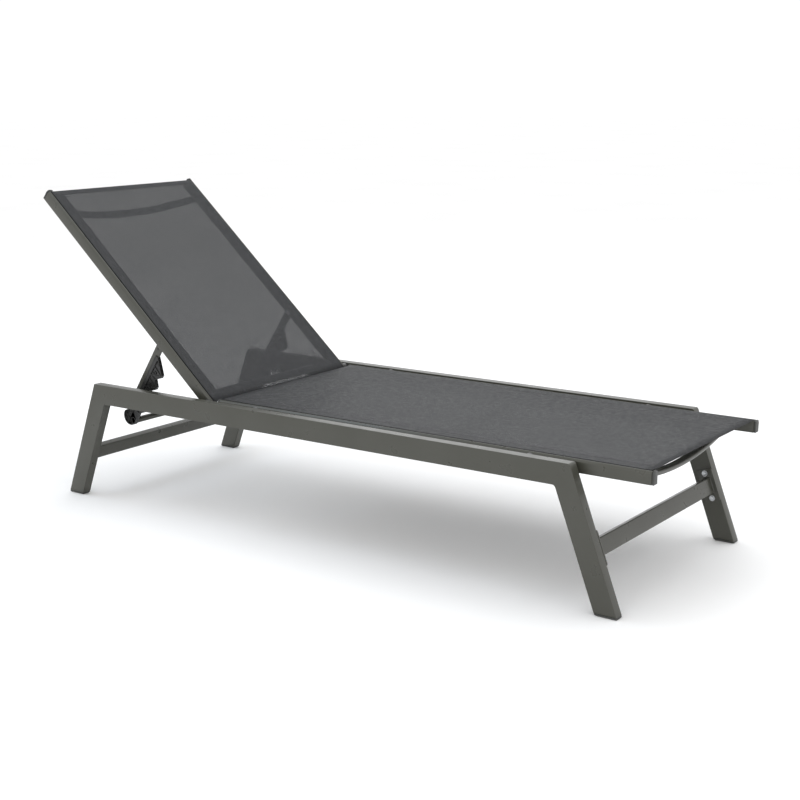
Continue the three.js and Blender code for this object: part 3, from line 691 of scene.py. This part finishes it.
SEAT_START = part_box("right_seat_rail")[0].x
SEAT_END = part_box("right_seat_rail")[1].x
SEAT_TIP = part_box("right_seat_rail_cap")[1].x
BACK_TIP = -760 * MM
BACK_TAIL = 17 * MM
CAP_STEP = CAP_LENGTH + JOINT_GAP

for side in ("right", "left"):
    sling_rail(side, "seat_side_rail", SEAT_START + CAP_STEP, SEAT_END, SEAT_PLACE, "frame",
               f"{side}_seat_rail")
    rail_cap(side, "seat_foot_cap", SEAT_TIP, -1, SEAT_PLACE, "frame", [f"{side}_seat_rail_cap"])
    rail_cap(side, "seat_head_cap", SEAT_START, 1, SEAT_PLACE, "frame", [])
    sling_rail(side, "back_side_rail", BACK_TIP + CAP_STEP, BACK_TAIL - CAP_STEP, BACK_PLACE, "backrest",
               f"{side}_back_rail")
    rail_cap(side, "back_top_cap", BACK_TIP, 1, BACK_PLACE, "backrest", [f"{side}_back_rail_cap"])
    rail_cap(side, "back_tail_cap", BACK_TAIL, -1, BACK_PLACE, "backrest", [])

# ---------------------------------------------------------------- spreaders and lower bar

# Width and height
SPREADER = (22 * MM, 12 * MM)
SPREADER_CORNER = SPREADER[1] / 2.4
SPREADER_SAG = 34 * MM
SPREADER_DROP = 9 * MM
SPREADER_STEPS = 48
TOP_SPREADER = -699 * MM
# Place along the back rails, and radius
LOWER_BAR = (-24 * MM, 10 * MM)


def spreader(name, x, place, body, node):
    """A flat oval tube, bowed downwards between the rails."""
    reach = PROFILE_INNER - JOINT_GAP
    section = rounded_rectangle(*SPREADER, SPREADER_CORNER, 7)
    rings = []
    for i in range(SPREADER_STEPS + 1):
        y = -reach + 2 * reach * i / SPREADER_STEPS
        z = -SPREADER_DROP - SPREADER_SAG * (1 - (y / reach) ** 2)
        slope = 2 * SPREADER_SAG * y / reach ** 2
        tilt = 0 if i in (0, SPREADER_STEPS) else math.atan(slope)
        up = Vector((0, -math.sin(tilt), math.cos(tilt)))
        rings.append([Vector((x + u, y, z)) + up * v for u, v in section])
    bm = bmesh.new()
    ring_sweep(bm, rings)
    add(name, bm, POWDER, body, [node], place)


def middle_x(node):
    low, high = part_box(node)
    return (low.x + high.x) / 2


def lower_bar():
    """The round bar across the back rails, close to the hinge."""
    along, radius = LOWER_BAR
    reach = PROFILE_INNER - JOINT_GAP
    bm = bmesh.new()
    cylinder(bm, (along, 0), radius, -reach, reach, 40)
    add("lower_round_bar", bm, POWDER, "backrest", ["lower_bar"], BACK_PLACE)


for place in ("foot", "middle", "head"):
    spreader(f"{place}_bow", middle_x(f"{place}_spreader"), SEAT_PLACE, "frame", f"{place}_spreader")
spreader("top_bow", TOP_SPREADER, BACK_PLACE, "backrest", "top_spreader")
lower_bar()

# ---------------------------------------------------------------- slings

WIDTH_STEPS = 44
LENGTH_STEP = 24 * MM
HEM_INNER = GROOVE_Y - SIDE_HEM
HEM_MOUTH = GROOVE_Y - 0.6 * MM
HEM_TURN = 0.9 * MM
HEM_TURN_SHIFT = 0.3 * MM
CLOTH_INSET = 7 * MM
# Rings of a stitch: place along its half length, size, and how deep it sinks, in stitch radii
STITCH_RINGS = ((-1, 0.3, 0.8), (-0.6, 1, 0), (0.6, 1, 0), (1, 0.3, 0.8))
STITCH_RISE = 0.4 * STITCH_RADIUS
STITCH_MARGIN = 3 * MM


class Sling:
    """A sling between two rails, drawn flat. Its surface sags a little between them, most in the
    middle of its length."""

    def __init__(self, start, end, hems):
        self.start, self.end, self.hems = start, end, hems

    def height(self, x, y, drop=0.0):
        from_end = min(x - self.start, self.end - x)
        share = min(1.0, SAG_GROWTH * max(from_end, 0.0))
        return CLOTH_TOP - SAG * share * (1 - min(1.0, abs(y) / GROOVE_Y) ** 2) - drop

    def surface(self, bm, xs, path, material_index):
        """A skin over stations along X. Each path point is (y, drop below the cloth, height or None)."""
        rows = []
        for x in xs:
            rows.append([
                bm.verts.new((x, y, self.height(x, y, drop) if z is None else z)) for y, drop, z in path
            ])
        for first, second in zip(rows, rows[1:]):
            for i in range(len(path) - 1):
                face = bm.faces.new((first[i], second[i], second[i + 1], first[i + 1]))
                face.material_index = material_index


def side_hem_path():
    """From the hem's inner edge out into the groove and round the keder, as surface points."""
    channel = PROFILE_DEPTH / 2 - CHANNEL_DEPTH
    under = [(-y, HEM_DROP, None) for y in even(HEM_INNER, HEM_MOUTH, 4)]
    loop = [(y, 0.0, z) for y, z in arc((-GROOVE_Y, channel), KEDER_WRAP, *KEDER_TURN, 16)]
    bend = (-GROOVE_Y + HEM_TURN_SHIFT, CLOTH_TOP - HEM_TURN)
    turn = [(y, 0.0, z) for y, z in arc(bend, HEM_TURN, 170, 90, 4)]
    return [*under, *loop, *turn]


def end_hem(bm, cloth, x, inwards, width):
    """The cloth folded round under itself at one end. It dips under the side hems at the corners."""
    radius = HEM_DROP / 2
    fold = [(radius - radius * math.sin(a), radius - radius * math.cos(a)) for a in even(0, math.pi, 6)]
    run = [(along, HEM_DROP) for along in even(radius, width, 4)[1:]]
    ys = [-HEM_MOUTH, -HEM_INNER - MM, -HEM_INNER + MM, *even(-HEM_INNER + 2 * MM, HEM_INNER - 2 * MM, 36),
          HEM_INNER - MM, HEM_INNER + MM, HEM_MOUTH]
    rows = []
    for along, drop in [*fold, *run]:
        row = []
        for y in ys:
            under_side_hem = abs(y) > HEM_INNER and along > radius
            depth = CORNER_DROP if under_side_hem else drop
            place = x + inwards * along
            row.append(bm.verts.new((place, y, cloth.height(place, y, depth))))
        rows.append(row)
    for first, second in zip(rows, rows[1:]):
        for i in range(len(ys) - 1):
            bm.faces.new((first[i], second[i], second[i + 1], first[i + 1]))


def stitch(bm, cloth, x, y, direction):
    """One short rounded stitch that lies on the cloth."""
    centre = Vector((x, y, cloth.height(x, y) + STITCH_RISE))
    half = Vector((*direction, 0)) * (STITCH_LENGTH / 2)
    side = Vector((-direction[1], direction[0], 0)) * STITCH_RADIUS
    up = Vector((0, 0, STITCH_RADIUS))
    rings = []
    for share, size, sink in STITCH_RINGS:
        spot = centre + half * share - up * sink
        rings.append([spot + (side * math.cos(a) + up * math.sin(a)) * size
                      for a in even(0, math.tau * 5 / 6, 5)])
    ring_sweep(bm, rings)


def stitching(bm, cloth):
    """Rows of stitches on the four hems, close to their inner edges."""
    row = HEM_INNER + STITCH_INSET
    first = cloth.start + cloth.hems[0] - STITCH_INSET
    last = cloth.end - cloth.hems[1] + STITCH_INSET
    for x in even(first, last, int((last - first) / STITCH_PITCH)):
        for y in (-row, row):
            stitch(bm, cloth, x, y, (1, 0))
    edge = HEM_MOUTH - STITCH_MARGIN
    for y in even(-edge, edge, int(2 * edge / STITCH_PITCH)):
        for x in (first, last):
            stitch(bm, cloth, x, y, (0, 1))


def skin(piece):
    """Gives a drawn surface the cloth's own small thickness."""
    thick = piece.modifiers.new("skin", "SOLIDIFY")
    thick.thickness, thick.offset = CLOTH_SKIN, -1


def sling(name, start, end, hems, place, body, node):
    """A sling with its hems folded under and stitched, and its edges wrapped round the keders."""
    cloth = Sling(start, end, hems)
    hem = side_hem_path()
    main = [(y, 0.0, None) for y in even(-HEM_MOUTH, HEM_MOUTH, WIDTH_STEPS)]
    far_hem = [(-y, drop, z) for y, drop, z in reversed(hem)]
    fold = HEM_DROP / 2
    xs = even(start + fold, end - fold, round((end - start) / LENGTH_STEP))
    bm = bmesh.new()
    cloth.surface(bm, xs, [hem[-1], *main, far_hem[0]], 0)
    cloth.surface(bm, xs, hem, 1)
    cloth.surface(bm, xs, far_hem, 1)
    sheet = add(name, bm, SLING, body, [node], place, smooth=70, extra=[SLING_HEM])
    bm = bmesh.new()
    end_hem(bm, cloth, start, 1, hems[0])
    end_hem(bm, cloth, end, -1, hems[1])
    folded = add(name + "_end_hems", bm, SLING_HEM, body, [], place, smooth=70)
    bm = bmesh.new()
    stitching(bm, cloth)
    thread = add(name + "_stitching", bm, THREAD, body, [], place, smooth=60)
    skin(sheet)
    skin(folded)


def keders(name, start, end, place, body, nodes):
    """The round beads in the slings' edges, in their grooves."""
    for side, node in zip(("right", "left"), nodes):
        bm = bmesh.new()
        outline = circle((-GROOVE_Y, PROFILE_DEPTH / 2 - CHANNEL_DEPTH), KEDER_RADIUS, 24)
        extrude(bm, outline, start, end, along_x)
        add(f"{side}_{name}", mirrored(bm, side), BLACK, body, [node], place)


SEAT_CLOTH = (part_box("seat_sling")[0].x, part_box("seat_sling")[1].x)
BACK_CLOTH = (BACK_TIP + CLOTH_INSET, BACK_TAIL - CLOTH_INSET)
keders("seat_bead", *SEAT_CLOTH, SEAT_PLACE, "frame", ("right_seat_keder", "left_seat_keder"))
keders("back_bead", *BACK_CLOTH, BACK_PLACE, "backrest", ("right_back_keder", "left_back_keder"))
sling("seat_cloth", *SEAT_CLOTH, (END_HEM, END_HEM), SEAT_PLACE, "frame", "seat_sling")
sling("back_cloth", *BACK_CLOTH, (END_HEM, NARROW_HEM), BACK_PLACE, "backrest", "back_sling")

# ---------------------------------------------------------------- prop

ARM_WIDTH = 22 * MM
ARM_LENGTH = 250 * MM
ARM_FACE = 248.3 * MM
ARM_THICKNESS = 5 * MM
ARM_EDGE = 0.6 * MM
RACK_FACE = 250.8 * MM
RACK_THICKNESS = 10 * MM
RACK_EDGE = 1.5 * MM
RACK_TOP = 59 * MM
TOOTH_TOP = 91.8 * MM
TOOTH_PITCH = 40 * MM
TOOTH_COUNT = 4
TOOTH_TIP = 46.5 * MM
TOOTH_FLAT = 9 * MM
NOTCH_OFFSET = 25.3 * MM
NOTCH_ROOT = 32.5 * MM
# Place across and along the arm from its pivot, and radius
RACK_END = (11 * MM, 265 * MM, 24 * MM)
CROSS_TUBE = (25 * MM, 270 * MM, 8 * MM)
RIVET = (-2 * MM, 41 * MM, 2.8 * MM)
# How far a rivet's head stands out, its gap to the arm, and its edge
RIVET_HEAD = (0.7 * MM, 0.02 * MM, 0.3 * MM)
RIM = 2.4 * MM
WEB = 4 * MM
WEB_RIM = 0.6 * RIM
WEB_TOP = 72 * MM
SKIN = 1.6 * MM
SKIN_RIM = 0.5 * RIM
SKIN_SINK = 0.4 * MM
RIB = 1.8 * MM
RIB_SINK = 0.8 * MM
BOSS_WALL = 1.9 * MM
HUB_WALL = 2.2 * MM
DISC_BACK = 4 * MM
DISC_FRONT = 5 * MM
TOOTH_RIB = 4 * MM
# A boss in each tooth: how far from the arm, its share of the way to the notch, and its radius
TOOTH_BOSS = (10 * MM, 0.45, 5.6 * MM)
SPOKE_ANGLES = (-35, -80, -125, -170)
SPOKE_START = 6 * MM
ARM_SHOULDER_RADIUS = 8 * MM
SHANK_INSET = 5 * MM
PROP_PIVOT_ALONG = -(PROP_PIVOT - HINGE).length


def prop_arm(side):
    """A flat arm with a rounded top, and the rivet that holds the rack to it."""
    half = ARM_WIDTH / 2
    outline = [*arc((0, 0), half, 0, 180, 20), (-half, -ARM_LENGTH), (half, -ARM_LENGTH)]
    bm = bmesh.new()
    faces = extrude(bm, outline, -ARM_FACE, -ARM_FACE + ARM_THICKNESS, along_y)
    soften(bm, faces, ARM_EDGE)
    add(f"{side}_prop_strip", mirrored(bm, side), POWDER, "prop", [f"{side}_prop_arm"],
        PROP_PLACE)
    across, along, radius = RIVET
    proud, clear, edge = RIVET_HEAD
    bm = bmesh.new()
    cylinder(bm, (across, -along), radius, -ARM_FACE - proud, -ARM_FACE - clear, 24, edge)
    add(f"{side}_prop_rivet", mirrored(bm, side), BLACK, "prop", [], PROP_PLACE)


def rack_outline():
    """The rack's side view, as (across, down) points from its top."""
    teeth = []
    for i in range(TOOTH_COUNT):
        top = TOOTH_TOP + i * TOOTH_PITCH
        teeth += [(TOOTH_TIP, -top), (TOOTH_TIP, -top - TOOTH_FLAT), (NOTCH_ROOT, -top - NOTCH_OFFSET)]
    x, along, radius = RACK_END
    return [
        (RACK_EDGE, -RACK_TOP), (ARM_WIDTH / 2, -RACK_TOP), *teeth,
        *arc((x, -along), radius, 0, -180, 24), (RACK_EDGE, -along + radius),
    ]


def frame_ring(bm, outline, inner, start, end):
    """A wall of even thickness that follows an outline."""
    loops = [[bm.verts.new(along_y(u, v, depth)) for u, v in ring]
             for ring, depth in ((outline, start), (outline, end), (inner, end), (inner, start))]
    count = len(outline)
    for a, b in zip(loops, [*loops[1:], loops[0]]):
        for i in range(count):
            j = (i + 1) % count
            bm.faces.new((a[i], a[j], b[j], b[i]))


def rib(bm, start, end, low, high):
    """A straight stiffening wall between two points of the rack."""
    a, b = Vector(start), Vector(end)
    across = Vector((-(b - a).y, (b - a).x)).normalized() * RIB / 2
    corners = [tuple(corner) for corner in (a + across, b + across, b - across, a - across)]
    extrude(bm, corners, low, high, along_y)


def boss(bm, centre, radius, low, high):
    """A round stiffening wall."""
    frame_ring(bm, circle(centre, radius, 24), circle(centre, radius - BOSS_WALL, 24), low, high)


def toothed_rack(side):
    """A moulded rack: a rim, a web and ribs, and thin covers on both sides of the arm that it grips."""
    outline = rack_outline()
    low, high = -RACK_FACE, -RACK_FACE + RACK_THICKNESS
    bm = bmesh.new()
    frame_ring(bm, outline, inset(outline, RIM), low, high)
    web_middle = -ARM_FACE + ARM_THICKNESS / 2
    edge = ARM_WIDTH / 2 + JOINT_GAP
    web = [point for point in inset(outline, WEB_RIM) if point[0] > edge]
    web = [(edge, -WEB_TOP), *web, (edge, web[-1][1])]
    extrude(bm, web, web_middle - WEB / 2, web_middle + WEB / 2, along_y)
    x, along, radius = RACK_END
    below_arm = -ARM_LENGTH - MM
    disc = [*arc((x, -along), radius - WEB_RIM, 0, -180, 24), (RACK_EDGE - DISC_BACK, below_arm),
            (edge + DISC_FRONT, below_arm)]
    extrude(bm, disc, web_middle - WEB / 2, web_middle + WEB / 2, along_y)
    cover = [(RACK_EDGE + SKIN_RIM, -RACK_TOP - RIM), (edge + MM, -RACK_TOP - RIM),
             (edge + MM, -along), (RACK_EDGE + SKIN_RIM, -along)]
    for depth in (low + SKIN_SINK, high - SKIN_SINK - SKIN):
        extrude(bm, cover, depth, depth + SKIN, along_y)
    face_low, face_high = low + RIB_SINK, high - RIB_SINK
    from_edge, down_share, boss_radius = TOOTH_BOSS
    for i in range(TOOTH_COUNT):
        top = TOOTH_TOP + i * TOOTH_PITCH
        notch_z = -top - NOTCH_OFFSET
        tip = (TOOTH_TIP - RIM, -top - TOOTH_FLAT / 2)
        for start, end in (
            ((edge, -top + TOOTH_RIB), tip),
            ((edge, notch_z), (NOTCH_ROOT - RIM, notch_z)),
            ((edge, notch_z), tip),
        ):
            rib(bm, start, end, face_low, face_high)
        boss(bm, (edge + from_edge, -top - NOTCH_OFFSET * down_share), boss_radius, face_low, face_high)
    boss(bm, (CROSS_TUBE[0], -CROSS_TUBE[1]), CROSS_TUBE[2] + HUB_WALL, face_low, face_high)
    for angle in SPOKE_ANGLES:
        a = math.radians(angle)
        start = (x + SPOKE_START * math.cos(a), -along + SPOKE_START * math.sin(a))
        end = (x + (radius - RIM) * math.cos(a), -along + (radius - RIM) * math.sin(a))
        rib(bm, start, end, face_low, face_high)
    add(f"{side}_rack", mirrored(bm, side), BLACK, "prop", [f"{side}_toothed_rack"],
        PROP_PLACE, smooth=40)


def shoulder_bolt(side):
    """The bolt a prop arm turns on: its shoulder, its shank and its domed head."""
    axis = (PROP_PIVOT_ALONG, 0)
    inner = -ARM_FACE + ARM_THICKNESS + JOINT_GAP
    bm = bmesh.new()
    cylinder(bm, axis, ARM_SHOULDER_RADIUS, -PROFILE_INNER + JOINT_GAP, -ARM_FACE - JOINT_GAP, 32)
    cylinder(bm, axis, SHANK_RADIUS, -PROFILE_OUTER + SHANK_INSET, inner + MM, 24)
    button_head(bm, axis, inner, inner + HEAD_HEIGHT)
    add(f"{side}_prop_pin", mirrored(bm, side), ZINC, "backrest", [f"{side}_prop_bolt"],
        BACK_PLACE)


def cross_tube():
    """The tube that joins the two racks."""
    across, along, radius = CROSS_TUBE
    reach = RACK_FACE - RACK_THICKNESS / 2 - JOINT_GAP
    bm = bmesh.new()
    cylinder(bm, (across, -along), radius, -reach, reach, 32)
    add("prop_round_tube", bm, POWDER, "prop", ["prop_cross_tube"], PROP_PLACE)


cross_tube()
for side in ("right", "left"):
    prop_arm(side)
    toothed_rack(side)
    shoulder_bolt(side)

# ---------------------------------------------------------------- bolts, spacers and catches

SHANK_END = 0.9 * HEAD_HEIGHT
SPACER_EDGE = 0.8 * MM
PIN_CHAMFER = 0.8 * MM
BRACKET_PLATE = 3 * MM
BRACKET_BEND = 5 * MM


def box_middle(node):
    """The middle of a node's box seen along Y, and the box's two corners."""
    low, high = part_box(node)
    return ((low.x + high.x) / 2, (low.z + high.z) / 2), low, high


def rail_bolt(side, name):
    """A button-head bolt through a sling rail and its spacer, into the side frame."""
    centre, low, high = box_middle(f"right_{name}")
    bm = bmesh.new()
    button_head(bm, centre, high.y - HEAD_HEIGHT, high.y)
    cylinder(bm, centre, SHANK_RADIUS, low.y, high.y - SHANK_END, 24)
    add(f"{side}_{name}_turned", mirrored(bm, side), ZINC, "frame", [f"{side}_{name}"])


def spacer(side, name):
    """The bush that keeps a sling rail off the side frame."""
    centre, low, high = box_middle(f"right_{name}")
    bm = bmesh.new()
    cylinder(bm, centre, (high.x - low.x) / 2, low.y, high.y, 40, SPACER_EDGE)
    add(f"{side}_{name}_bush", mirrored(bm, side), BLACK, "frame", [f"{side}_{name}"])


def catch_pin(side):
    """The pin that a notch of the rack rests on."""
    centre, low, high = box_middle("right_catch_pin")
    bm = bmesh.new()
    cylinder(bm, centre, (high.x - low.x) / 2, low.y, high.y, 32, PIN_CHAMFER)
    add(f"{side}_catch_stud", mirrored(bm, side), ZINC, "frame", [f"{side}_catch_pin"])


def catch_bracket(side):
    """An angle bent from plate, with its ledge at the top."""
    low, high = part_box("right_catch_bracket")
    outer_y, inner_y, top, bottom = low.y, high.y, high.z, low.z
    bend = (outer_y + BRACKET_BEND, top - BRACKET_BEND)
    outline = [
        (outer_y, bottom), *reversed(arc(bend, BRACKET_BEND, 90, 180, 6)), (inner_y, top),
        (inner_y, top - BRACKET_PLATE),
        *arc(bend, BRACKET_BEND - BRACKET_PLATE, 90, 180, 6), (outer_y + BRACKET_PLATE, bottom),
    ]
    bm = bmesh.new()
    faces = extrude(bm, outline, low.x, high.x, along_x)
    soften(bm, faces, PLATE_EDGE)
    add(f"{side}_catch_angle", mirrored(bm, side), POWDER, "frame", [f"{side}_catch_bracket"])


for side in ("right", "left"):
    for place in ("hinge", "head_seat", "foot_seat"):
        rail_bolt(side, f"{place}_bolt")
        spacer(side, f"{place}_spacer")
    catch_pin(side)
    catch_bracket(side)

# ---------------------------------------------------------------- stage, light and camera

FLOOR_REACH = 40
FLOOR_DROP = 0.5 * MM
WORLD_STRENGTH = 1.06
# Soft boxes: name, place, what each points at, width, watts and colour
SOFT_BOXES = (
    ("top_soft_box", (0.2, 0.8, 3.4), (0, 0, 0.3), 3.4, 40, (0.94, 0.97, 1.0)),
    ("head_soft_box", (-2.4, -1.0, 3.0), (0, -0.2, 0.3), 1.5, 12, (0.62, 0.8, 1.0)),
    ("back_soft_box", (-2.6, 4.6, 2.9), (0, 0, 0.3), 2.2, 14, (0.96, 0.98, 1.0)),
    ("front_soft_box", (1.2, -3.6, 1.7), (0, 0, 0.3), 2.6, 18, (1.0, 0.99, 0.97)),
)
CAMERA_PLACE = Vector((2.08669, -2.73328, 1.07407))
CAMERA_AZIMUTH = math.radians(36.344)
CAMERA_ELEVATION = math.radians(12.684)
CAMERA_ROLL = math.radians(-0.644)
CAMERA_LENS = 62.58
CAMERA_SENSOR = 36
CAMERA_FAR = 200


def stage_material():
    """Matt pale paint with faint unevenness."""
    g = Graph("stage", Roughness=0.9)
    colour = g.blend(g.spread(g.noise(1.2, 3), 0.3, 0.7), (0.93, 0.93, 0.93, 1), (0.96, 0.96, 0.96, 1))
    return g.finish(colour, normal=g.bump(g.noise(60, 3), 0.0004, 0.3))


def floor():
    bm = bmesh.new()
    corners = [(-1, -1), (1, -1), (1, 1), (-1, 1)]
    bm.faces.new([bm.verts.new((x * FLOOR_REACH, y * FLOOR_REACH, -FLOOR_DROP)) for x, y in corners])
    mesh = bpy.data.meshes.new("floor")
    bm.to_mesh(mesh)
    bm.free()
    mesh.materials.append(stage_material())
    plane = bpy.data.objects.new("floor", mesh)
    bpy.context.scene.collection.objects.link(plane)


def area_light(name, place, target, size, power, colour):
    data = bpy.data.lights.new(name, "AREA")
    data.shape, data.size, data.energy, data.color = "SQUARE", size, power, colour
    light = bpy.data.objects.new(name, data)
    light.location = place
    light.rotation_mode = "QUATERNION"
    light.rotation_quaternion = (Vector(target) - Vector(place)).to_track_quat("-Z", "Y")
    bpy.context.scene.collection.objects.link(light)


def studio():
    """White surroundings and four soft boxes."""
    world = bpy.data.worlds.new("studio")
    bpy.context.scene.world = world
    world.use_nodes = True
    backdrop = world.node_tree.nodes["Background"]
    backdrop.inputs["Color"].default_value = (1.0, 1.0, 1.0, 1)
    backdrop.inputs["Strength"].default_value = WORLD_STRENGTH
    for soft_box in SOFT_BOXES:
        area_light(*soft_box)
    bpy.context.scene.view_settings.view_transform = "Standard"


def camera():
    """A camera aimed by azimuth, elevation and roll."""
    data = bpy.data.cameras.new("camera")
    data.lens, data.sensor_width, data.clip_end = CAMERA_LENS, CAMERA_SENSOR, CAMERA_FAR
    eye = bpy.data.objects.new("camera", data)
    az, el, roll = CAMERA_AZIMUTH, CAMERA_ELEVATION, CAMERA_ROLL
    back = Vector((math.sin(az) * math.cos(el), -math.cos(az) * math.cos(el), math.sin(el)))
    right = (-back).cross(Vector((0, 0, 1))).normalized()
    up = right.cross(-back)
    turned_right = right * math.cos(roll) + up * math.sin(roll)
    turned_up = up * math.cos(roll) - right * math.sin(roll)
    axes = Matrix((turned_right, turned_up, back)).transposed().to_4x4()
    eye.matrix_world = Matrix.Translation(CAMERA_PLACE) @ axes
    bpy.context.scene.collection.objects.link(eye)
    bpy.context.scene.camera = eye


floor()
studio()
camera()
